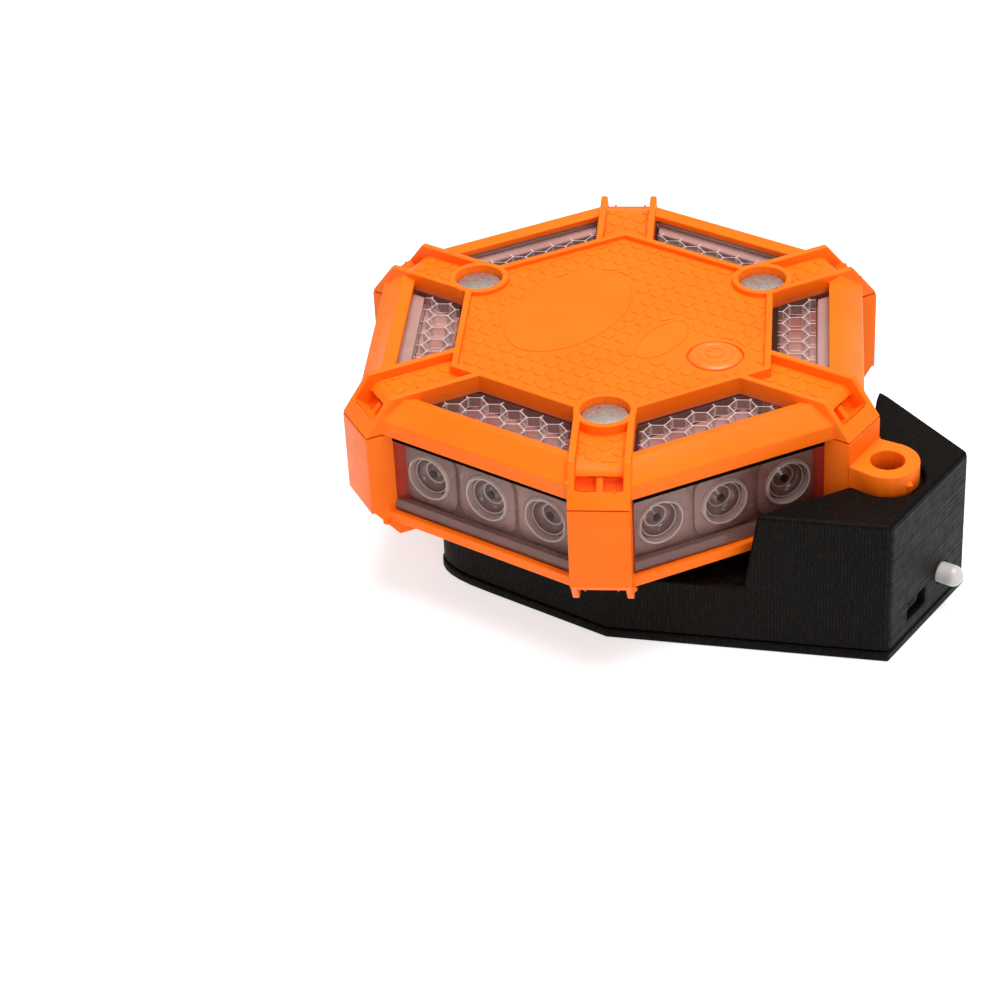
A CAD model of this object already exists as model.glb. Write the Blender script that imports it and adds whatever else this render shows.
"""LED safety flare lying in its charging dock: the looks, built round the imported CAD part.

Metres, +Z up. The origin is on the table under the flare's axis, and +X runs through the hang tab
and the dock's port face. Sides are numbered from 1, at 30 degrees from +X, in steps of 60 degrees.
"""
import math

import bmesh
import bpy
from mathutils import Matrix, Quaternion, Vector


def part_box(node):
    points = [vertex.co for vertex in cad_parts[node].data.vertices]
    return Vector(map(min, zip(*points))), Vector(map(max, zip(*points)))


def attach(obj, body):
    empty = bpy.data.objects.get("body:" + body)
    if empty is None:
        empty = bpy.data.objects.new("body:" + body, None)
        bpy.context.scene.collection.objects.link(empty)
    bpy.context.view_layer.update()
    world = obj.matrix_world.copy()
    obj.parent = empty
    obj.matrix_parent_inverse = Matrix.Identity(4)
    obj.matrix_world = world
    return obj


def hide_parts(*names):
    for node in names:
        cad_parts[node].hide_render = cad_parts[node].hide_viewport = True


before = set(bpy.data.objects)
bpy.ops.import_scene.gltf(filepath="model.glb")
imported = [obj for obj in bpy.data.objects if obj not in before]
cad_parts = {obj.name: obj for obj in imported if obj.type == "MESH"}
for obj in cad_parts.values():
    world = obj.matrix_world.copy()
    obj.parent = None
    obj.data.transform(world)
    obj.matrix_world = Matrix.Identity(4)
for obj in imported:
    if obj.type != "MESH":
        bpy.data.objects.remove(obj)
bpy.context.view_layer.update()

# ------------------------------------------------------------------ driving dimensions
MM = 0.001
SIDES = 6
STEP = math.tau / SIDES

FLARE_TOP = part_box("top_cover")[1].z
FLARE_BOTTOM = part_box("lower_case")[0].z
FLARE_MIDDLE = (FLARE_TOP + FLARE_BOTTOM) / 2
COVER_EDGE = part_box("top_cover")[0].z

HUB_RADIUS = 42.0 * MM               # corner radius of the hexagonal centre plate
HUB_RIM = 1.5 * MM
HUB_FLOOR = FLARE_TOP - 1.4 * MM
SPOKE_FLOOR = FLARE_TOP - 2.5 * MM
SPOKE_HALF = 5.3 * MM                # half the width of the sunk floor between two rails
SPOKE_FLAT_END = 57.0 * MM           # where the sunk floor starts to drop
MAGNET_PLACE = 38.97 * MM
MAGNET_RING = 7.15 * MM
BUTTON_X = 27.3 * MM
BUTTON_RADIUS = 6.2 * MM
WINDOW_CLEAR = 7.2 * MM              # from a spoke's middle to the window's edge
WINDOW_HOLLOW = FLARE_TOP - 4.0 * MM  # underside of the clear top plate over its cells
INSIDE_CLEAR = WINDOW_CLEAR + 0.6 * MM  # the same for what lies under a top window
SIDE_FACE = 55.7 * MM                # apothem of the side windows' outer face
LENS_PITCH = 16.1 * MM
LENS_LEVEL = FLARE_MIDDLE - 1.2 * MM
LENS_SEAT = 5.9 * MM                 # radius of the openings in the plate behind the holders
WEB_INNER = 50.0 * MM                # the pillars' inner walls start this far from the axis
CASE_EDGE = FLARE_BOTTOM + 8.5 * MM  # lower end of those walls

PAD_HALF = 1.6 * MM                  # grip pads on the hub and the spokes' floors
PAD_CORNER = 1.0 * MM
PAD_SLIVER = 1.6 * MM * MM           # a cut-off pad smaller than this area is left out
PAD_PITCH_X = 4.1 * MM
PAD_PITCH_Y = 4.3 * MM
PAD_START = Vector((1.0, -13.3, 0)) * MM     # the pad that the grid is counted from
# each mark is an oval: its middle, and half its length in X and in Y
LABEL = (Vector((-12.7, -0.3, 0)) * MM, 12.4 * MM, 20.1 * MM)
EMBLEM = (Vector((13.0, 0, 0)) * MM, 4.6 * MM, 9.6 * MM)

CELL_PITCH = 5.4 * MM                # honeycomb cells under the top windows, across the flats
CELL_RIB = 0.32 * MM
CELL_MIDDLE = 41.9 * MM              # apothem of the middle row of cells
CELLS_INNER = 37.7 * MM
CELLS_OUTER = 46.5 * MM
POST_RADIUS = 0.3 * MM

TOWER_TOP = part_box("dock_shell")[1].z
DOCK_ROUNDING = 9 * MM               # at the tower's sharp back corner; other edges get a share
PORT_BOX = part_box("usb_port")
LED_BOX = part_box("status_led")


def side_turn(i):
    """The rotation that takes the +X direction to the middle of side i, counted from 0."""
    return Matrix.Rotation((i + 0.5) * STEP, 4, "Z")


def spoke_turn(i):
    return Matrix.Rotation(i * STEP, 4, "Z")


def half_side(apothem, clear):
    """Half the length of a side at an apothem, stopping clear of the two spokes' middles."""
    return (apothem * math.sin(STEP / 2) - clear) / math.cos(STEP / 2)


MAGNET_SPOKES = (1, 3, 5)
FACE_OUT = Matrix.Rotation(math.pi / 2, 4, "Y")      # stands a turned piece's axis along +X


# ------------------------------------------------------------------ mesh helpers
def loft(bm, rings, slot=0, closed=False):
    """Skins a row of rings, all with as many points or with just one, and caps both ends, or joins the
    last ring to the first if closed."""
    made = [[bm.verts.new(p) for p in ring] for ring in rings]
    pairs = list(zip(made, made[1:]))
    if closed:
        pairs.append((made[-1], made[0]))
    for low, high in pairs:
        count = max(len(low), len(high))
        for k in range(count):
            n = (k + 1) % count
            if len(low) == 1:
                face = [low[0], high[n], high[k]]
            elif len(high) == 1:
                face = [low[k], low[n], high[0]]
            else:
                face = [low[k], low[n], high[n], high[k]]
            bm.faces.new(face).material_index = slot
    if not closed:
        for ring, flip in ((made[0], True), (made[-1], False)):
            if len(ring) > 2:
                cap = list(reversed(ring)) if flip else ring
                bm.faces.new(cap).material_index = slot


def circle(radius, height, segments, x=0.0, y=0.0):
    points = []
    for k in range(segments):
        a = math.tau * k / segments
        points.append(Vector((x + radius * math.cos(a), y + radius * math.sin(a), height)))
    return points


def lathe(bm, profile, segments, place, slot=0, closed=False):
    """Turns (radius, height) points about Z; a radius of 0 is a single point on the axis."""
    rings = []
    for radius, height in profile:
        ring = circle(radius, height, segments) if radius > 0 else [Vector((0, 0, height))]
        rings.append([place @ p for p in ring])
    loft(bm, rings, slot, closed)


def from_level(level, *points):
    """(radius, height) points given in millimetres, the heights counted from a level."""
    return [(radius * MM, level + height * MM) for radius, height in points]


def squircle(half, height, segments=64, power=5.3):
    """A square outline with rounded corners, evenly stepped in angle."""
    points = []
    for k in range(segments):
        c, s = math.cos(math.tau * k / segments), math.sin(math.tau * k / segments)
        reach = half / (abs(c) ** power + abs(s) ** power) ** (1 / power)
        points.append(Vector((reach * c, reach * s, height)))
    return points


def oval(centre, half_x, half_y, inset, height, segments=96):
    points = []
    for k in range(segments):
        a = math.tau * k / segments
        points.append(Vector((centre.x + (half_x - inset) * math.cos(a),
                              centre.y + (half_y - inset) * math.sin(a), height)))
    return points


def rounded_rectangle(half_x, half_y, corner, steps=4):
    """Corner-rounded outline in the XY plane, anticlockwise."""
    points = []
    for k, (sx, sy) in enumerate(((1, 1), (-1, 1), (-1, -1), (1, -1))):
        for j in range(steps + 1):
            a = (k + j / steps) * math.pi / 2
            points.append(Vector((sx * (half_x - corner) + corner * math.cos(a),
                                  sy * (half_y - corner) + corner * math.sin(a), 0)))
    return points


def prism(bm, outline, bottom, top, slot=0, place=Matrix.Identity(4)):
    low = [place @ Vector((p.x, p.y, bottom)) for p in outline]
    high = [place @ Vector((p.x, p.y, top)) for p in outline]
    loft(bm, [low, high], slot)


def round_edges(bm, width, segments=2, angle=math.radians(30)):
    """Bevels every edge that is sharper than the angle."""
    bm.normal_update()
    edges = [e for e in bm.edges if e.is_manifold and e.calc_face_angle(0) > angle]
    bmesh.ops.bevel(bm, geom=edges, offset=width, segments=segments, profile=0.5, affect="EDGES",
                    clamp_overlap=False)


def mesh_object(name, bm, materials, smooth=math.radians(32)):
    """Turns a bmesh into an object, shaded smooth except across its sharp edges."""
    bmesh.ops.recalc_face_normals(bm, faces=bm.faces)
    for face in bm.faces:
        face.smooth = True
    for edge in bm.edges:
        edge.smooth = edge.is_manifold and edge.calc_face_angle(0) < smooth
    mesh = bpy.data.meshes.new(name)
    bm.to_mesh(mesh)
    bm.free()
    for material in materials:
        mesh.materials.append(material)
    made = bpy.data.objects.new(name, mesh)
    bpy.context.scene.collection.objects.link(made)
    return made


def piece(name, bm, materials, body, replaces=()):
    """A visible object that rides a body, and stands in for the CAD nodes that it replaces."""
    made = mesh_object(name, bm, materials)
    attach(made, body)
    if replaces:
        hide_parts(*replaces)
    return made


def cut(name, whole, cutter):
    """The bmesh of whole with cutter taken away; both are bmeshes and are used up."""
    target = mesh_object(name, whole, [])
    tool = mesh_object(name + "_tool", cutter, [])
    modifier = target.modifiers.new("cut", "BOOLEAN")
    modifier.object = tool
    modifier.operation = "DIFFERENCE"
    modifier.solver = "EXACT"
    bpy.context.view_layer.update()
    evaluated = target.evaluated_get(bpy.context.evaluated_depsgraph_get())
    result = bmesh.new()
    result.from_mesh(evaluated.to_mesh())
    for made in (target, tool):
        mesh = made.data
        bpy.data.objects.remove(made)
        bpy.data.meshes.remove(mesh)
    return result


def turned_copy(bm, matrix):
    copy = bm.copy()
    copy.transform(matrix)
    return copy


def join(bm, part):
    """Adds part to bm; part is used up."""
    mesh = bpy.data.meshes.new("part")
    part.to_mesh(mesh)
    part.free()
    bm.from_mesh(mesh)
    bpy.data.meshes.remove(mesh)


def cad_copy(name, matrix=Matrix.Identity(4)):
    """A clean bmesh copy of a CAD node's surface, with the flat faces joined up."""
    bm = bmesh.new()
    bm.from_mesh(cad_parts[name].data)
    bmesh.ops.remove_doubles(bm, verts=bm.verts, dist=0.01 * MM)
    bmesh.ops.dissolve_limit(bm, angle_limit=math.radians(1), verts=bm.verts, edges=bm.edges)
    bm.transform(matrix)
    for face in bm.faces:
        face.material_index = 0
    return bm


# ------------------------------------------------------------------ materials
def new_material(name, **values):
    """A node material with constants set on the Principled shader's own sockets."""
    made = bpy.data.materials.new(name)
    made.use_nodes = True
    shader = made.node_tree.nodes["Principled BSDF"]
    for key, value in values.items():
        shader.inputs[key.replace("_", " ")].default_value = value
    return made, made.node_tree, shader


def object_noise(tree, scale, detail, stretch=(1, 1, 1)):
    """Noise in the object's own coordinates, in features per metre; stretch scales each axis."""
    where = tree.nodes.new("ShaderNodeTexCoord")
    mapping = tree.nodes.new("ShaderNodeMapping")
    mapping.inputs["Scale"].default_value = stretch
    noise = tree.nodes.new("ShaderNodeTexNoise")
    noise.inputs["Scale"].default_value = scale
    noise.inputs["Detail"].default_value = detail
    tree.links.new(where.outputs["Object"], mapping.inputs["Vector"])
    tree.links.new(mapping.outputs["Vector"], noise.inputs["Vector"])
    return noise.outputs["Fac"]


def spread(tree, fac, low, high, to_low, to_high):
    """Maps the range low to high of a value onto another range, and holds it at the ends."""
    node = tree.nodes.new("ShaderNodeMapRange")
    for key, value in (("From Min", low), ("From Max", high), ("To Min", to_low), ("To Max", to_high)):
        node.inputs[key].default_value = value
    tree.links.new(fac, node.inputs["Value"])
    return node.outputs["Result"]


def tint(tree, fac, first, second):
    node = tree.nodes.new("ShaderNodeMix")
    node.data_type = "RGBA"
    node.inputs[6].default_value = (*first, 1)
    node.inputs[7].default_value = (*second, 1)
    tree.links.new(fac, node.inputs[0])
    return node.outputs[2]


def calculate(tree, operation, *values):
    """A math node on sockets or plain numbers."""
    node = tree.nodes.new("ShaderNodeMath")
    node.operation = operation
    for socket, value in zip(node.inputs, values):
        if isinstance(value, (int, float)):
            socket.default_value = value
        else:
            tree.links.new(value, socket)
    return node.outputs[0]


def bump(tree, shader, height, depth):
    node = tree.nodes.new("ShaderNodeBump")
    node.inputs["Distance"].default_value = depth
    tree.links.new(height, node.inputs["Height"])
    tree.links.new(node.outputs["Normal"], shader.inputs["Normal"])


def moulded(name, first, second, rough_low, rough_high, grain=0.012 * MM, gloss=0.13):
    """Satin injection-moulded plastic: slow colour drift, uneven sheen and a very fine grain."""
    made, tree, shader = new_material(name, Specular_IOR_Level=gloss)
    drift = spread(tree, object_noise(tree, 45, 4), 0.35, 0.65, 0, 1)
    tree.links.new(tint(tree, drift, first, second), shader.inputs["Base Color"])
    sheen = spread(tree, object_noise(tree, 160, 4), 0.3, 0.7, rough_low, rough_high)
    tree.links.new(sheen, shader.inputs["Roughness"])
    bump(tree, shader, object_noise(tree, 2600, 2), grain)
    return made


def clear_plastic(name, color, alpha, roughness, ior=3.0):
    """Thin clear moulding: a tinted haze over what lies behind it. Alpha weakens the reflection too,
    so the faintest hazes get a high index of refraction to bring their gloss back."""
    made, tree, shader = new_material(name, Alpha=alpha, IOR=ior)
    drift = spread(tree, object_noise(tree, 120, 3), 0.35, 0.65, 0.94, 1.06)
    scaled = tree.nodes.new("ShaderNodeVectorMath")
    scaled.operation = "SCALE"
    scaled.inputs[0].default_value = color
    tree.links.new(drift, scaled.inputs["Scale"])
    tree.links.new(scaled.outputs["Vector"], shader.inputs["Base Color"])
    smear = spread(tree, object_noise(tree, 70, 4), 0.3, 0.7, roughness * 0.7, roughness * 1.5)
    tree.links.new(smear, shader.inputs["Roughness"])
    return made


def lit_plate():
    """Pale plate edge, with a faint glow for the light that the clear plate scatters into it."""
    glow = {"Emission_Color": (1, 0.62, 0.56, 1), "Emission_Strength": 0.13}
    made, tree, shader = new_material("lit_plate", Specular_IOR_Level=0.3, **glow)
    drift = spread(tree, object_noise(tree, 90, 4), 0.3, 0.7, 0, 1)
    tree.links.new(tint(tree, drift, (0.7, 0.48, 0.44), (0.9, 0.7, 0.66)), shader.inputs["Base Color"])
    tree.links.new(spread(tree, drift, 0, 1, 0.2, 0.35), shader.inputs["Roughness"])
    return made


def metal(name, color, rough_low, rough_high, grain_scale, depth):
    """Bare or plated metal with a mottled colour, uneven sheen and a fine grain."""
    made, tree, shader = new_material(name, Metallic=1.0)
    fac = spread(tree, object_noise(tree, grain_scale, 4), 0.3, 0.7, 0, 1)
    darker = tuple(c * 0.78 for c in color)
    tree.links.new(tint(tree, fac, darker, color), shader.inputs["Base Color"])
    rough = spread(tree, object_noise(tree, grain_scale * 0.6, 3), 0.3, 0.7, rough_low, rough_high)
    tree.links.new(rough, shader.inputs["Roughness"])
    bump(tree, shader, object_noise(tree, grain_scale * 1.4, 4), depth)
    return made


def printed(name, color, layer=0.68 * MM):
    """Filament-printed black plastic. The layers cross the part's length, so they show as fine broken
    upright lines on the long sides; the end face shows the level passes of one layer."""
    made, tree, shader = new_material(name, Specular_IOR_Level=0.07,
                                      Specular_Tint=(1, 0.86, 0.76, 1))
    where = tree.nodes.new("ShaderNodeTexCoord")
    split = tree.nodes.new("ShaderNodeSeparateXYZ")
    tree.links.new(where.outputs["Object"], split.inputs["Vector"])
    facing = tree.nodes.new("ShaderNodeNewGeometry")
    normal = tree.nodes.new("ShaderNodeSeparateXYZ")
    tree.links.new(facing.outputs["True Normal"], normal.inputs["Vector"])
    end_on = calculate(tree, "GREATER_THAN", normal.outputs["X"], 0.9)
    wobble = spread(tree, object_noise(tree, 700, 3), 0, 1, -0.35 * layer, 0.35 * layer)
    along = calculate(tree, "ADD", split.outputs["X"], wobble)
    wave = calculate(tree, "SINE", calculate(tree, "MULTIPLY", along, math.tau / layer))
    lines = spread(tree, wave, -0.4, 1, 0, 1)
    broken = spread(tree, object_noise(tree, 1500, 2, (1, 0.6, 0.6)), 0.35, 0.65, 0.25, 1)
    side_height = calculate(tree, "MULTIPLY", lines, broken)
    end_height = spread(tree, object_noise(tree, 1300, 2, (0.01, 0.02, 1)), 0.35, 0.65, 0, 1)
    height = tree.nodes.new("ShaderNodeMix")
    height.data_type = "FLOAT"
    for socket, value in zip((0, 2, 3), (end_on, side_height, end_height)):
        tree.links.new(value, height.inputs[socket])
    bump(tree, shader, height.outputs[0], 0.1 * MM)
    lighter = tuple(c * 6.5 for c in color)
    ridge = spread(tree, height.outputs[0], 0.25, 0.9, 0, 1)
    tree.links.new(tint(tree, ridge, color, lighter), shader.inputs["Base Color"])
    rough = spread(tree, object_noise(tree, 500, 3), 0.3, 0.7, 0.42, 0.56)
    tree.links.new(rough, shader.inputs["Roughness"])
    return made


def frosted():
    made, tree, shader = new_material("frosted_led", Subsurface_Weight=0.4, Subsurface_Scale=0.002,
                                      Coat_Weight=0.4, Coat_Roughness=0.2)
    fac = spread(tree, object_noise(tree, 300, 3), 0.35, 0.65, 0, 1)
    tree.links.new(tint(tree, fac, (0.46, 0.43, 0.41), (0.54, 0.51, 0.49)), shader.inputs["Base Color"])
    tree.links.new(spread(tree, fac, 0, 1, 0.3, 0.42), shader.inputs["Roughness"])
    return made


ORANGE = moulded("orange_plastic", (0.9, 0.138, 0.003), (0.93, 0.155, 0.005), 0.36, 0.48)
ORANGE_INSIDE = moulded("orange_inside", (0.36, 0.02, 0.006), (0.42, 0.026, 0.008), 0.45, 0.6)
BUTTON = moulded("button_rubber", (0.92, 0.145, 0.004), (0.94, 0.16, 0.006), 0.28, 0.4, gloss=0.4)
CLEAR = clear_plastic("clear_window", (0.6, 0.36, 0.32), 0.035, 0.05)
PANE = clear_plastic("side_pane", (0.2, 0.1, 0.08), 0.03, 0.06)
PANE_LEDGE = clear_plastic("side_pane_ledge", (0.2, 0.1, 0.085), 0.72, 0.15, 1.45)
GAP = clear_plastic("gap_seal", (0.003, 0.002, 0.002), 1.0, 0.7, 1.05)      # opaque and near black
RIB = clear_plastic("window_rib", (0.75, 0.52, 0.48), 0.14, 0.08)
RIB_EDGE = clear_plastic("window_rib_edge", (0.95, 0.78, 0.75), 0.42, 0.1, 1.8)
HOLDER = moulded("lens_holder", (0.17, 0.072, 0.055), (0.28, 0.138, 0.115), 0.2, 0.32, gloss=0.25)
LEDGE = moulded("window_ledge", (0.36, 0.2, 0.175), (0.42, 0.25, 0.22), 0.25, 0.35, gloss=0.2)
CELL_FLOOR = moulded("cell_floor", (0.26, 0.06, 0.045), (0.5, 0.27, 0.24), 0.2, 0.35, gloss=0.3)
SHELF = lit_plate()
LENS = clear_plastic("lens_acrylic", (0.72, 0.52, 0.47), 0.46, 0.04, 1.8)
LENS_RIM = clear_plastic("lens_rim", (0.9, 0.7, 0.65), 0.42, 0.06, 1.8)
BOWL = moulded("lens_bowl", (0.12, 0.05, 0.038), (0.17, 0.075, 0.06), 0.07, 0.14, gloss=0.6)
CHIP = moulded("led_chip", (0.008, 0.005, 0.004), (0.014, 0.01, 0.008), 0.3, 0.4, gloss=0.08)
LED_BOARD = moulded("led_board_white", (0.4, 0.3, 0.27), (0.46, 0.35, 0.31), 0.35, 0.5)
BLACK = printed("printed_black", (0.0017, 0.0014, 0.0012))
BLACK_PLAIN = moulded("black_plastic", (0.01, 0.01, 0.011), (0.015, 0.015, 0.016), 0.4, 0.55)
BOARD = moulded("circuit_board", (0.02, 0.11, 0.05), (0.03, 0.14, 0.065), 0.3, 0.45)
MAGNET = metal("sintered_magnet", (0.5, 0.44, 0.4), 0.42, 0.6, 1500, 0.05 * MM)
STEEL = metal("screw_steel", (0.55, 0.55, 0.56), 0.22, 0.4, 500, 0.01 * MM)
PORT_METAL = metal("port_metal", (0.72, 0.71, 0.7), 0.3, 0.45, 400, 0.008 * MM)
BRASS = metal("contact_brass", (0.83, 0.6, 0.25), 0.16, 0.3, 400, 0.008 * MM)
WRAP = moulded("cell_wrap", (0.03, 0.12, 0.4), (0.04, 0.15, 0.46), 0.2, 0.32)
FROSTED = frosted()


# ------------------------------------------------------------------ camera, light and floor
def camera():
    """Looks down at the flare from the front right, a little rolled, through a long lens."""
    aim = Vector((-28.77, -10.2, 0)) * MM
    azimuth, elevation, roll = math.radians(36.995), math.radians(34.135), math.radians(-3.257)
    distance = 726.4 * MM
    back = Vector((math.sin(azimuth) * math.cos(elevation), -math.cos(azimuth) * math.cos(elevation),
                   math.sin(elevation)))
    data = bpy.data.cameras.new("camera")
    data.lens = 106.47
    data.sensor_width = 36.0
    data.clip_start = 0.02
    made = bpy.data.objects.new("camera", data)
    made.location = aim + back * distance
    made.rotation_mode = "QUATERNION"
    made.rotation_quaternion = (-back).to_track_quat("-Z", "Y") @ Quaternion((0, 0, 1), roll)
    bpy.context.scene.collection.objects.link(made)
    bpy.context.scene.camera = made


def softbox(name, place, aim, width, height, power):
    data = bpy.data.lights.new(name, "AREA")
    data.shape = "RECTANGLE"
    data.size = width
    data.size_y = height
    data.energy = power
    made = bpy.data.objects.new(name, data)
    made.location = place
    made.rotation_mode = "QUATERNION"
    made.rotation_quaternion = (Vector(aim) - Vector(place)).to_track_quat("-Z", "Y")
    bpy.context.scene.collection.objects.link(made)


def studio():
    """A pale table that glows a little, to stay near white in its own shadow, under a large overhead
    softbox, with a weaker one each side of the camera."""
    world = bpy.data.worlds.new("studio")
    world.use_nodes = True
    background = world.node_tree.nodes["Background"]
    background.inputs["Color"].default_value = (1, 1, 1, 1)
    background.inputs["Strength"].default_value = 0.45
    bpy.context.scene.world = world
    softbox("overhead", (0.16, 0.06, 1.15), (0, 0, 0), 0.9, 0.8, 17.5)
    softbox("front_left", (-0.9, -0.8, 0.7), (0, 0, 0.03), 0.5, 0.5, 1.5)
    softbox("front_right", (0.9, -0.6, 0.5), (0, 0, 0.03), 0.4, 0.4, 2)
    bpy.context.scene.view_settings.view_transform = "Standard"

    glow = {"Roughness": 0.8, "Specular_IOR_Level": 0.1, "Emission_Color": (1, 1, 1, 1),
            "Emission_Strength": 0.6}
    white, tree, shader = new_material("white_table", **glow)
    fac = spread(tree, object_noise(tree, 3, 2), 0.3, 0.7, 0, 1)
    tree.links.new(tint(tree, fac, (0.52, 0.6, 0.62), (0.54, 0.61, 0.63)), shader.inputs["Base Color"])
    bm = bmesh.new()
    half = 3.0
    level = -0.05 * MM               # just under the dock's base plate, so the two don't coincide
    corners = [(-half, -half), (half, -half), (half, half), (-half, half)]
    bm.faces.new([bm.verts.new((x, y, level)) for x, y in corners])
    floor = mesh_object("table", bm, [white])


# ------------------------------------------------------------------ CAD pieces that keep their shape
FINISHES = {
    "orange_shell": ORANGE, "orange_inner": ORANGE_INSIDE, "button_orange": BUTTON, "clear_window": CLEAR,
    "clear_lens": LENS, "circuit_board": BOARD, "magnet": MAGNET, "screw_steel": STEEL,
    "black_plastic": BLACK_PLAIN, "cell_wrap": WRAP, "contact_brass": BRASS, "printed_black": BLACK,
    "port_metal": PORT_METAL, "frosted_led": FROSTED, "led_board_white": LED_BOARD,
}


def finish_cad_nodes():
    """Gives each CAD material's slots their finish."""
    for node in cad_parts.values():
        for slot in node.material_slots:
            slot.material = FINISHES[slot.material.name]


def soften(name, width):
    """Rounds a CAD node's edges by modifiers. Its mesh keeps its points and faces; only the shading
    turns smooth."""
    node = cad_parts[name]
    weld = node.modifiers.new("weld", "WELD")
    weld.merge_threshold = 0.01 * MM
    flat = node.modifiers.new("flat", "DECIMATE")
    flat.decimate_type = "DISSOLVE"
    flat.angle_limit = math.radians(1)
    rounding = node.modifiers.new("round", "BEVEL")
    rounding.width = width
    rounding.segments = 3
    rounding.limit_method = "ANGLE"
    rounding.angle_limit = math.radians(30)
    rounding.use_clamp_overlap = False
    rounding.harden_normals = True
    for face in node.data.polygons:
        face.use_smooth = True


# ------------------------------------------------------------------ grip texture and marks on the top cover
def clipped(outline, normal, reach):
    """The part of a flat outline on the near side of the line normal . p = reach."""
    kept = []
    for here, after in zip(outline, outline[1:] + outline[:1]):
        near, far = reach - normal.dot(here), reach - normal.dot(after)
        if near >= 0:
            kept.append(here)
        if near * far < 0:
            kept.append(here.lerp(after, near / (near - far)))
    return kept


def oval_reach(p, centre, half_x, half_y):
    """Below 1 inside the oval, 1 on its edge."""
    return math.hypot((p.x - centre.x) / half_x, (p.y - centre.y) / half_y)


def pushed_out(outline, centre, half_x, half_y):
    """Moves the points of an outline that lie in an oval out to its edge, or drops the outline if its
    middle is inside."""
    if not outline or oval_reach(sum(outline, Vector()) / len(outline), centre, half_x, half_y) < 1:
        return []
    moved = []
    for p in outline:
        reach = oval_reach(p, centre, half_x, half_y)
        moved.append(centre + (p - centre) / reach if reach < 1 else p)
    return moved


def area(outline):
    """The area of an anticlockwise outline."""
    return sum(a.cross(b).z for a, b in zip(outline, outline[1:] + outline[:1])) / 2


def grip_pad(bm, outline, floor):
    """A low domed pad standing on a floor; slivers are left out."""
    if area(outline) < PAD_SLIVER:
        return
    middle = sum(outline, Vector()) / len(outline)
    rings = []
    for inset, rise in ((0, -0.05), (0, 0.08), (0.12, 0.2), (0.42, 0.26)):
        scale = 1 - inset * MM / PAD_HALF
        up = Vector((0, 0, floor + rise * MM))
        rings.append([middle + (p - middle) * scale + up for p in outline])
    loft(bm, rings)


def pad_grid(reach):
    """The middles of all pads within reach of the axis, on one grid for hub and spokes."""
    columns = int(reach / PAD_PITCH_X) + 1
    rows = int(reach / PAD_PITCH_Y) + 4
    for column in range(-columns, columns + 1):
        for row in range(-rows, rows + 1):
            middle = PAD_START + Vector((column * PAD_PITCH_X, row * PAD_PITCH_Y, 0))
            if middle.length < reach:
                yield middle


def hub_pads(bm):
    edge = HUB_RADIUS * math.cos(STEP / 2) - HUB_RIM - 0.3 * MM
    keep_clear = [(*LABEL, 0.9 * MM), (*EMBLEM, 0.8 * MM)]
    keep_clear.append((Vector((BUTTON_X, 0, 0)), BUTTON_RADIUS, BUTTON_RADIUS, 1.5 * MM))
    for i in MAGNET_SPOKES:
        keep_clear.append((spoke_turn(i) @ Vector((MAGNET_PLACE, 0, 0)), MAGNET_RING, MAGNET_RING, 0.3 * MM))
    square = rounded_rectangle(PAD_HALF, PAD_HALF, PAD_CORNER)
    for middle in pad_grid(HUB_RADIUS):
        outline = [middle + p for p in square]
        for i in range(SIDES):
            outline = clipped(outline, side_turn(i) @ Vector((1, 0, 0)), edge)
        for centre, half_x, half_y, gap in keep_clear:
            outline = pushed_out(outline, centre, half_x + gap, half_y + gap)
        grip_pad(bm, outline, HUB_FLOOR)


def spoke_pads(bm, i):
    out = spoke_turn(i) @ Vector((1, 0, 0))
    across = spoke_turn(i) @ Vector((0, 1, 0))
    hub_edge = HUB_RADIUS * math.cos(STEP / 2) + 0.35 * MM
    square = rounded_rectangle(PAD_HALF, PAD_HALF, PAD_CORNER)
    for middle in pad_grid(SPOKE_FLAT_END + PAD_HALF):
        if out.dot(middle) < 0 or abs(across.dot(middle)) > SPOKE_HALF + PAD_HALF:
            continue
        outline = [middle + p for p in square]
        outline = clipped(outline, out, SPOKE_FLAT_END - 0.4 * MM)
        outline = clipped(outline, across, SPOKE_HALF - 0.35 * MM)
        outline = clipped(outline, -across, SPOKE_HALF - 0.35 * MM)
        near_side = side_turn(i if across.dot(middle) > 0 else i - 1) @ Vector((1, 0, 0))
        outline = clipped(outline, -near_side, -hub_edge)
        if i in MAGNET_SPOKES:
            outline = pushed_out(outline, out * MAGNET_PLACE, MAGNET_RING + 0.3 * MM, MAGNET_RING + 0.3 * MM)
        grip_pad(bm, outline, SPOKE_FLOOR)


def grip_pads():
    bm = bmesh.new()
    hub_pads(bm)
    for i in range(SIDES):
        spoke_pads(bm, i)
    piece("grip_pads", bm, [ORANGE], "flare")


def label_marks():
    """A plain raised label oval with a fine rim, and a plain oval outline beside it."""
    bm = bmesh.new()
    rings = []
    for inset, rise in ((0, -0.05), (0, 0.14), (0.15, 0.22), (0.45, 0.22), (0.6, 0.1)):
        rings.append(oval(*LABEL, inset * MM, HUB_FLOOR + rise * MM))
    loft(bm, rings)
    rings = []
    for inset, rise in ((0, -0.05), (0, 0.1), (0.12, 0.18), (0.4, 0.18), (0.52, 0.1), (0.52, -0.05)):
        rings.append(oval(*EMBLEM, inset * MM, HUB_FLOOR + rise * MM))
    loft(bm, rings, closed=True)
    piece("label_marks", bm, [ORANGE], "flare")


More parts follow.
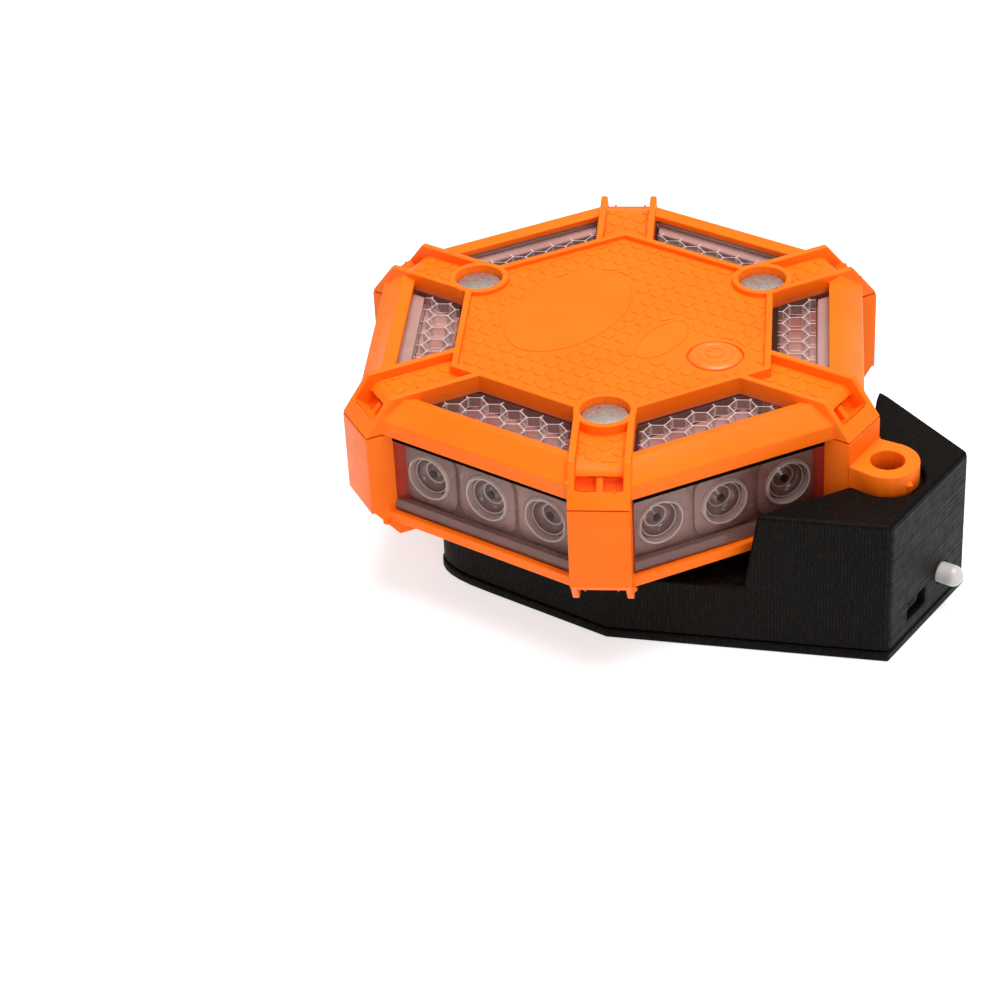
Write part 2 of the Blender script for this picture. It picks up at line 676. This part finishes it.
# ------------------------------------------------------------------ button and magnets
def power_button():
    """A shallow dome with a ring groove, and a raised open arc with a bar for the power symbol."""
    bm = bmesh.new()
    place = Matrix.Translation((BUTTON_X, 0, 0))
    profile = from_level(FLARE_TOP, (0, -6.3), (2, -6.3), (2, -4.9), (7.4, -4.9), (7.4, -3.9), (6.42, -3.9),
                         (6.42, -1.95), (6.3, -1.85), (6.1, -1.8), (6.0, -1.4), (5.7, -1.15), (5.2, -1.0),
                         (4.4, -0.88), (4.2, -1.02), (3.95, -1.02), (3.75, -0.8), (2.6, -0.62),
                         (1.3, -0.53), (0, -0.5))
    lathe(bm, profile, 64, place)
    inner, outer = 1.75 * MM, 2.2 * MM
    low, high = FLARE_TOP - 0.75 * MM, FLARE_TOP - 0.42 * MM
    gap = math.radians(32)
    steps = 28
    rings = []
    for k in range(steps + 1):
        a = math.pi + gap + (math.tau - 2 * gap) * k / steps
        section = ((inner, low), (inner + 0.06 * MM, high), (outer - 0.06 * MM, high), (outer, low))
        rings.append([place @ Vector((r * math.cos(a), r * math.sin(a), z)) for r, z in section])
    loft(bm, rings)
    bar = [p - Vector((1.75 * MM, 0, 0)) for p in rounded_rectangle(0.85 * MM, 0.22 * MM, 0.1 * MM)]
    prism(bm, bar, low, high, 0, place)
    piece("button_dome", bm, [BUTTON], "power_button", ["power_button"])


def magnets():
    for number, i in enumerate(MAGNET_SPOKES, 1):
        bm = bmesh.new()
        place = spoke_turn(i) @ Matrix.Translation((MAGNET_PLACE, 0, 0))
        profile = from_level(FLARE_TOP, (0, -3.7), (5.2, -3.7), (5.35, -3.55), (5.35, -2.05), (5.25, -1.88),
                             (5.05, -1.8), (0, -1.8))
        lathe(bm, profile, 72, place)
        piece(f"magnet_disc_{number}", bm, [MAGNET], "flare", [f"magnet_{number}"])


# ------------------------------------------------------------------ windows
def trapezoid(inner, outer, clear):
    """A side's outline between two apothems, in the XY plane with the side's middle along +X."""
    a, b = half_side(inner, clear), half_side(outer, clear)
    return [Vector((inner, -a, 0)), Vector((outer, -b, 0)), Vector((outer, b, 0)), Vector((inner, a, 0))]


def cell_middles():
    """The middles of the honeycomb's cells, in three rows along a side that faces +X."""
    row_pitch = CELL_PITCH * math.cos(math.pi / 6)
    for row in (-1, 0, 1):
        for column in range(-5, 6):
            yield Vector((CELL_MIDDLE + row * row_pitch, (column + 0.5 * (row % 2)) * CELL_PITCH, 0))


def honeycomb():
    """Ribs round hexagonal cells, two of whose walls run outwards, with a thin post at each junction."""
    low, high = FLARE_TOP - 6.5 * MM, WINDOW_HOLLOW - 0.06 * MM
    whole = bmesh.new()
    prism(whole, trapezoid(CELLS_INNER, CELLS_OUTER, WINDOW_CLEAR + 0.5 * MM), low, high)
    cells = bmesh.new()
    reach = (CELL_PITCH - CELL_RIB) / 2 / math.cos(math.pi / 6)
    for middle in cell_middles():
        prism(cells, [middle + p for p in circle(reach, 0, 6)], low - MM, high + MM)
    ribs = cut("honeycomb", whole, cells)
    for face in ribs.faces:
        face.material_index = 1 if abs(face.normal.z) > 0.9 else 0
    corner = CELL_PITCH / 2 / math.cos(math.pi / 6)
    for middle in cell_middles():
        for side in (-1, 1):
            x, y = middle.x + side * corner, middle.y
            beside = half_side(x, WINDOW_CLEAR + 0.9 * MM)
            if CELLS_INNER + 0.4 * MM < x < CELLS_OUTER - 0.4 * MM and abs(y) < beside:
                post = circle(POST_RADIUS, 0, 8, x, y)
                prism(ribs, post, low - 0.1 * MM, high + 0.02 * MM, 1)
    return ribs


def window_edge():
    """The pale strip under a top window's outer edge, with a lip standing along it and a bright line."""
    bm = bmesh.new()
    face = FLARE_TOP - 5.1 * MM
    prism(bm, trapezoid(47.0 * MM, 51.1 * MM, INSIDE_CLEAR), face - 0.5 * MM, face, 0)
    prism(bm, trapezoid(50.8 * MM, 51.1 * MM, INSIDE_CLEAR), face, face + 1.5 * MM, 0)
    prism(bm, trapezoid(50.5 * MM, 50.75 * MM, INSIDE_CLEAR), face + 0.25 * MM, face + 0.5 * MM, 1)
    return bm


def top_windows():
    """Each is a clear plate with a hollow under it, ribs in the hollow and a strip under its edge."""
    hollow = bmesh.new()
    gap = 0.05 * MM
    prism(hollow, trapezoid(CELLS_INNER - gap, CELLS_OUTER + gap, WINDOW_CLEAR + 0.45 * MM),
          FLARE_TOP - 9 * MM, WINDOW_HOLLOW)
    plate = cut("window_plate", cad_copy("top_window_1", side_turn(0).inverted()), hollow)
    round_edges(plate, 0.22 * MM)
    edge = window_edge()
    ribs = honeycomb()
    for i in range(SIDES):
        number = i + 1
        turn = side_turn(i)
        piece(f"window_edge_{number}", turned_copy(edge, turn), [LEDGE, LENS_RIM], "flare")
        piece(f"window_plate_{number}", turned_copy(plate, turn), [CLEAR], "flare",
              [f"top_window_{number}"])
        piece(f"window_ribs_{number}", turned_copy(ribs, turn), [RIB, RIB_EDGE], "flare")
    for made in (plate, ribs, edge):
        made.free()


def pane_strip(bm, section, slot):
    """Runs a section of (apothem, height) points from one end of a side window to the other."""
    rings = []
    for end in (-1, 1):
        rings.append([Vector((x, end * half_side(x, WINDOW_CLEAR), z)) for x, z in section])
    loft(bm, rings, slot)


def side_windows():
    """Flat clear panes with a hazy stepped ledge along the bottom and a dark gap along the top."""
    low, high = FLARE_BOTTOM + 7.8 * MM, FLARE_TOP - 6.4 * MM
    back, ledge_face = SIDE_FACE - 1.5 * MM, SIDE_FACE + 0.35 * MM
    seal_back, seal_face = SIDE_FACE + 0.02 * MM, SIDE_FACE + 0.1 * MM
    seal_low = COVER_EDGE - 2.15 * MM
    step = low + 2.3 * MM
    ledge_top = step - 0.02 * MM
    bm = bmesh.new()
    pane_strip(bm, [(back, step), (SIDE_FACE, step), (SIDE_FACE, high), (back, high)], 0)
    round_edges(bm, 0.15 * MM)
    pane_strip(bm, [(back, low), (ledge_face, low), (ledge_face, step - 1.1 * MM), (SIDE_FACE, ledge_top),
                    (back, ledge_top)], 1)
    pane_strip(bm, [(seal_back, seal_low), (seal_face, seal_low), (seal_face, high), (seal_back, high)], 2)
    for i in range(SIDES):
        number = i + 1
        piece(f"side_pane_{number}", turned_copy(bm, side_turn(i)), [PANE, PANE_LEDGE, GAP], "flare",
              [f"side_window_{number}"])
    bm.free()


def pillar_webs():
    """The walls that run in from each pillar behind the side windows' ends, and the pillars' liners."""
    bm = bmesh.new()
    half_wall, half_liner = 3.6 * MM, 3.0 * MM
    wall = rounded_rectangle(half_wall, 0.6 * MM, 0.3 * MM)
    liner = rounded_rectangle(half_liner, 0.1 * MM, 0.05 * MM)
    for i in range(SIDES):
        for side in (-1, 1):
            place = spoke_turn(i) @ Matrix.Translation((WEB_INNER + half_wall, side * 6.1 * MM, 0))
            prism(bm, wall, CASE_EDGE, COVER_EDGE + 1.5 * MM, 0, place)
            place = spoke_turn(i) @ Matrix.Translation((57.1 * MM, side * 7.03 * MM, 0))
            prism(bm, liner, CASE_EDGE - 0.5 * MM, COVER_EDGE + 0.2 * MM, 0, place)
    piece("pillar_webs", bm, [ORANGE_INSIDE], "flare")


# ------------------------------------------------------------------ lens modules
LENS_MATERIALS = [HOLDER, BOWL, LENS, CHIP, LEDGE, SHELF, LENS_RIM, CELL_FLOOR]
IN_HOLDER, IN_BOWL, IN_LENS, IN_CHIP, IN_LEDGE, IN_SHELF, IN_RIM, IN_FLOOR = range(8)


def lens_holder(bm, place):
    """A rounded-square frame with a round opening for the lens."""
    rings = []
    for half, out in ((7.6, 51.2), (7.6, 52.8), (7.5, 53.05), (7.2, 53.2)):
        rings.append([place @ p for p in squircle(half * MM, out * MM)])
    for radius, out in ((6.0, 53.2), (5.85, 53.0), (5.85, 51.2)):
        rings.append([place @ p for p in circle(radius * MM, out * MM, 64)])
    loft(bm, rings, IN_HOLDER, closed=True)


def lens(bm, place):
    """A clear outer ring, and set back in it a rimmed bowl round a raised middle with a dark pupil."""
    bowl = from_level(0, (0, 51.5), (1.0, 51.45), (1.3, 51.3), (1.8, 50.75), (2.3, 50.5), (3.0, 50.6),
                      (3.6, 51.1), (4.0, 51.8), (4.1, 52.2), (4.6, 52.1), (4.7, 51.5), (5.8, 51.4),
                      (5.8, 51.1), (4.6, 50.9), (2.9, 46.4), (0, 46.4))
    lathe(bm, bowl, 64, place, IN_BOWL)
    outer = from_level(0, (4.95, 51.45), (5.05, 53.3), (5.15, 53.75), (5.35, 53.8), (5.6, 53.6), (5.7, 53.2),
                       (5.78, 51.45))
    lathe(bm, outer, 64, place, IN_LENS, closed=True)
    for radius, out in ((5.2, 53.8), (5.72, 53.25), (4.3, 52.3)):
        rim = from_level(0, (radius - 0.09, out - 0.1), (radius - 0.05, out + 0.03),
                         (radius + 0.05, out + 0.04), (radius + 0.09, out - 0.08))
        lathe(bm, rim, 64, place, IN_RIM, closed=True)
    ridge = from_level(0, (2.45, 50.45), (2.5, 50.72), (2.7, 50.74), (2.76, 50.48))
    lathe(bm, ridge, 48, place, IN_RIM, closed=True)
    pupil = from_level(0, (0, 51.4), (1.05, 51.4), (1.0, 51.56), (0.6, 51.65), (0, 51.68))
    lathe(bm, pupil, 32, place, IN_CHIP)


def lens_plate(places):
    """The plate behind the holders, with an opening for each lens."""
    plate = bmesh.new()
    low, high = FLARE_BOTTOM + 8.2 * MM, FLARE_TOP - 6.8 * MM
    outline = rounded_rectangle((high - low) / 2, 22.0 * MM, 0.5 * MM)
    middle = Matrix.Translation((0, 0, (low + high) / 2)) @ FACE_OUT
    prism(plate, outline, 51.6 * MM, 52.4 * MM, IN_HOLDER, middle)
    holes = bmesh.new()
    behind, before = 49 * MM, 54 * MM
    for place in places:
        lathe(holes, [(0, behind), (LENS_SEAT, behind), (LENS_SEAT, before), (0, before)], 64, place)
    return cut("lens_plate", plate, holes)


def window_shelf(bm):
    """What shows down through a top window: the cells' floor, a ledge, and a lit shelf with a riser."""
    shelf = FLARE_TOP - 7.5 * MM
    top = shelf + 0.6 * MM
    line = FLARE_TOP - 6.2 * MM
    prism(bm, trapezoid(38.2 * MM, 46.7 * MM, INSIDE_CLEAR), shelf - 0.8 * MM, shelf - 0.2 * MM, IN_FLOOR)
    prism(bm, trapezoid(46.8 * MM, 50.5 * MM, INSIDE_CLEAR), shelf, top, IN_LEDGE)
    prism(bm, trapezoid(51.4 * MM, 53.9 * MM, INSIDE_CLEAR), shelf, top, IN_SHELF)
    prism(bm, trapezoid(53.2 * MM, 53.9 * MM, INSIDE_CLEAR), top, line, IN_SHELF)
    rim = trapezoid(53.1 * MM, 53.8 * MM, INSIDE_CLEAR + MM)
    prism(bm, rim, line + 0.02 * MM, line + 0.3 * MM, IN_RIM)


def lens_modules():
    """Three lenses in their holders on a plate, and over them the shelf under the top window."""
    bm = bmesh.new()
    places = [Matrix.Translation((0, k * LENS_PITCH, LENS_LEVEL)) @ FACE_OUT for k in (-1, 0, 1)]
    for place in places:
        lens_holder(bm, place)
        lens(bm, place)
    join(bm, lens_plate(places))
    window_shelf(bm)
    for i in range(SIDES):
        number = i + 1
        piece(f"lens_module_{number}", turned_copy(bm, side_turn(i)), LENS_MATERIALS, "flare",
              [f"lens_bar_{number}"])
    bm.free()


# ------------------------------------------------------------------ sprue marks
def sprue_nub(bm, place, size):
    """The small broken stub that a moulding gate leaves, its points pushed about by sines."""
    profile = ((1.0, -0.5), (0.95, 0.1), (0.7, 0.45), (0.55, 0.5), (0.3, 0.95), (0, 1.0))
    stub = bmesh.new()
    lathe(stub, [(radius * size, height * size) for radius, height in profile], 9, place)
    for k, vert in enumerate(stub.verts):
        vert.co += Vector((math.sin(2.1 * k), math.cos(3.7 * k), math.sin(5.3 * k))) * 0.12 * size
    join(bm, stub)


def sprue_nubs():
    bm = bmesh.new()
    left, right = Matrix.Rotation(math.pi / 2, 4, "X"), Matrix.Rotation(-math.pi / 2, 4, "X")
    stubs = (
        (spoke_turn(5), (62.5, -6.9, 50.8), left, 0.9),
        (spoke_turn(5), (63.0, 6.9, 23.4), right, 0.9),
        (spoke_turn(4), (63.0, 6.9, 23.0), right, 0.9),
        (spoke_turn(0), (79.2, -2.4, 37.6), FACE_OUT, 0.8),
        (side_turn(4), (57.4, -9.7, 47.0), FACE_OUT, 0.35),
    )
    for turn, place, facing, size in stubs:
        sprue_nub(bm, turn @ Matrix.Translation(Vector(place) * MM) @ facing, size * MM)
    piece("sprue_nubs", bm, [ORANGE], "flare")


# ------------------------------------------------------------------ dock details
def status_led():
    """A round-nosed LED with a flange round its foot."""
    bm = bmesh.new()
    middle = (LED_BOX[0] + LED_BOX[1]) / 2
    place = Matrix.Translation((0, middle.y, middle.z)) @ FACE_OUT
    radius, flange = 2.5 * MM, 2.95 * MM
    back, tip = LED_BOX[0].x, LED_BOX[1].x
    foot = back + 1.0 * MM
    profile = [(0, back), (flange, back), (flange, foot), (radius, foot)]
    steps = 8
    for k in range(steps):
        a = k / steps * math.pi / 2
        profile.append((radius * math.cos(a), tip - radius + radius * math.sin(a)))
    profile.append((0, tip))
    lathe(bm, profile, 48, place)
    piece("led_dome", bm, [FROSTED], "dock", ["status_led"])


def usb_port():
    """A thin folded metal sleeve, dark inside, with a black tongue."""
    middle = (PORT_BOX[0] + PORT_BOX[1]) / 2
    half_y = (PORT_BOX[1].y - PORT_BOX[0].y) / 2
    half_z = (PORT_BOX[1].z - PORT_BOX[0].z) / 2
    front, back = PORT_BOX[1].x, PORT_BOX[0].x
    place = Matrix.Translation((0, middle.y, middle.z)) @ FACE_OUT
    wall = 0.35 * MM
    sleeve = bmesh.new()
    outside = rounded_rectangle(half_z, half_y, 0.8 * MM)
    inside = rounded_rectangle(half_z - wall, half_y - wall, 0.5 * MM)
    rings = []
    for outline, out in ((outside, back), (outside, front), (inside, front), (inside, back)):
        rings.append([place @ Vector((p.x, p.y, out)) for p in outline])
    loft(sleeve, rings, 0, closed=True)
    inner = wall + 0.02 * MM
    lining = rounded_rectangle(half_z - inner, half_y - inner, 0.5 * MM)
    prism(sleeve, lining, back, back + 3 * MM, 1, place)
    tongue = rounded_rectangle(0.4 * MM, 2.3 * MM, 0.15 * MM)
    prism(sleeve, tongue, back + 2.9 * MM, front - 1.2 * MM, 1, place)
    piece("port_sleeve", sleeve, [PORT_METAL, BLACK_PLAIN], "dock", ["usb_port"])


def contacts():
    """Sprung pins in their barrels, and the pads they meet under the flare."""
    barrel = ((0, 8.6), (2, 8.6), (2, 17.8), (1.85, 18), (1.3, 18), (1.25, 17.9), (1.25, 9.6), (0, 9.6))
    pin = ((0, 12), (0.95, 12), (0.95, 19.2), (0.82, 19.55), (0.5, 19.83), (0, 19.9))
    pad = ((0, 20.2), (2.3, 20.2), (2.45, 20.25), (2.5, 20.4), (2.5, 23), (0, 23))
    for number in (1, 2):
        kinds = (("contact_barrel", "dock", barrel), ("contact_pin", f"contact_pin_{number}", pin),
                 ("charge_pad", "flare", pad))
        for kind, body, points in kinds:
            name = f"{kind}_{number}"
            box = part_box(name)
            place = Matrix.Translation((0, (box[0].y + box[1].y) / 2, 0))
            bm = bmesh.new()
            lathe(bm, from_level(0, *points), 36, place)
            piece(f"{name}_turned", bm, [BRASS], body, [name])


def cross_screw(name, head, recess, body):
    """A turned screw with its head downwards, a cross recess in it and a plain shank above."""
    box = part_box(name)
    place = Matrix.Translation(((box[0].x + box[1].x) / 2, (box[0].y + box[1].y) / 2, box[0].z))
    length = (box[1].z - box[0].z) / MM
    shank = head[-1][0]
    bm = bmesh.new()
    lathe(bm, from_level(0, *head, (shank, length), (0, length)), 36, place)
    cross = bmesh.new()
    arm, half = 1.5 * MM, 0.28 * MM
    outline = []
    for k in range(4):
        for x, y in ((arm, -half), (arm, half), (half, half)):
            outline.append(Matrix.Rotation(k * math.pi / 2, 3, "Z") @ Vector((x, y, 0)))
    prism(cross, outline, -MM, recess, 0, place)
    piece(f"{name}_turned", cut(name + "_head", bm, cross), [STEEL], body, [name])


def screws():
    case_head = ((0, 0), (1.9, 0), (2.4, 0.25), (2.6, 0.7), (2.6, 1.6), (1.3, 1.6))
    base_head = ((0, 0), (2.3, 0), (2.65, 0.15), (2.8, 0.4), (2.8, 0.9), (1.3, 0.9))
    for number in (1, 2, 3):
        cross_screw(f"case_screw_{number}", case_head, 0.9 * MM, "flare")
    for number in (1, 2, 3, 4):
        cross_screw(f"base_screw_{number}", base_head, 0.6 * MM, "dock")


def dock_edge_weight(edge):
    """The share of DOCK_ROUNDING that an edge of the shell gets."""
    if not edge.is_manifold or edge.calc_face_angle(0) < math.radians(25):
        return 0
    low, high = sorted((v.co for v in edge.verts), key=lambda p: p.z)
    on_tower = high.z > TOWER_TOP - 0.1 * MM
    upright = on_tower and high.z - low.z > 15 * MM
    if not edge.is_convex:
        return 0.04
    if upright and edge.calc_face_angle(0) > math.radians(100):
        return 1 if low.y > 0 else 0.34      # the tower's two sharp corners, back and front
    if upright:
        return 0.2
    if low.z > TOWER_TOP - 0.1 * MM:
        return 0.11                          # the rim of the tower's top
    return 0.06


def dock_body():
    """The printed shell: well rounded corners on the tower, a finer edge everywhere else."""
    bm = cad_copy("dock_shell")
    bm.normal_update()
    layer = bm.edges.layers.float.new("bevel_weight_edge")
    for edge in bm.edges:
        edge[layer] = dock_edge_weight(edge)
    shell = piece("dock_print", bm, [BLACK], "dock", ["dock_shell"])
    rounding = shell.modifiers.new("round", "BEVEL")
    rounding.width = DOCK_ROUNDING
    rounding.segments = 5
    rounding.limit_method = "WEIGHT"
    rounding.use_clamp_overlap = False
    rounding.harden_normals = True


camera()
studio()
finish_cad_nodes()
soften("top_cover", 0.3 * MM)
soften("lower_case", 0.3 * MM)
soften("dock_base", 0.5 * MM)
grip_pads()
label_marks()
power_button()
magnets()
top_windows()
side_windows()
pillar_webs()
lens_modules()
sprue_nubs()
status_led()
usb_port()
contacts()
screws()
dock_body()
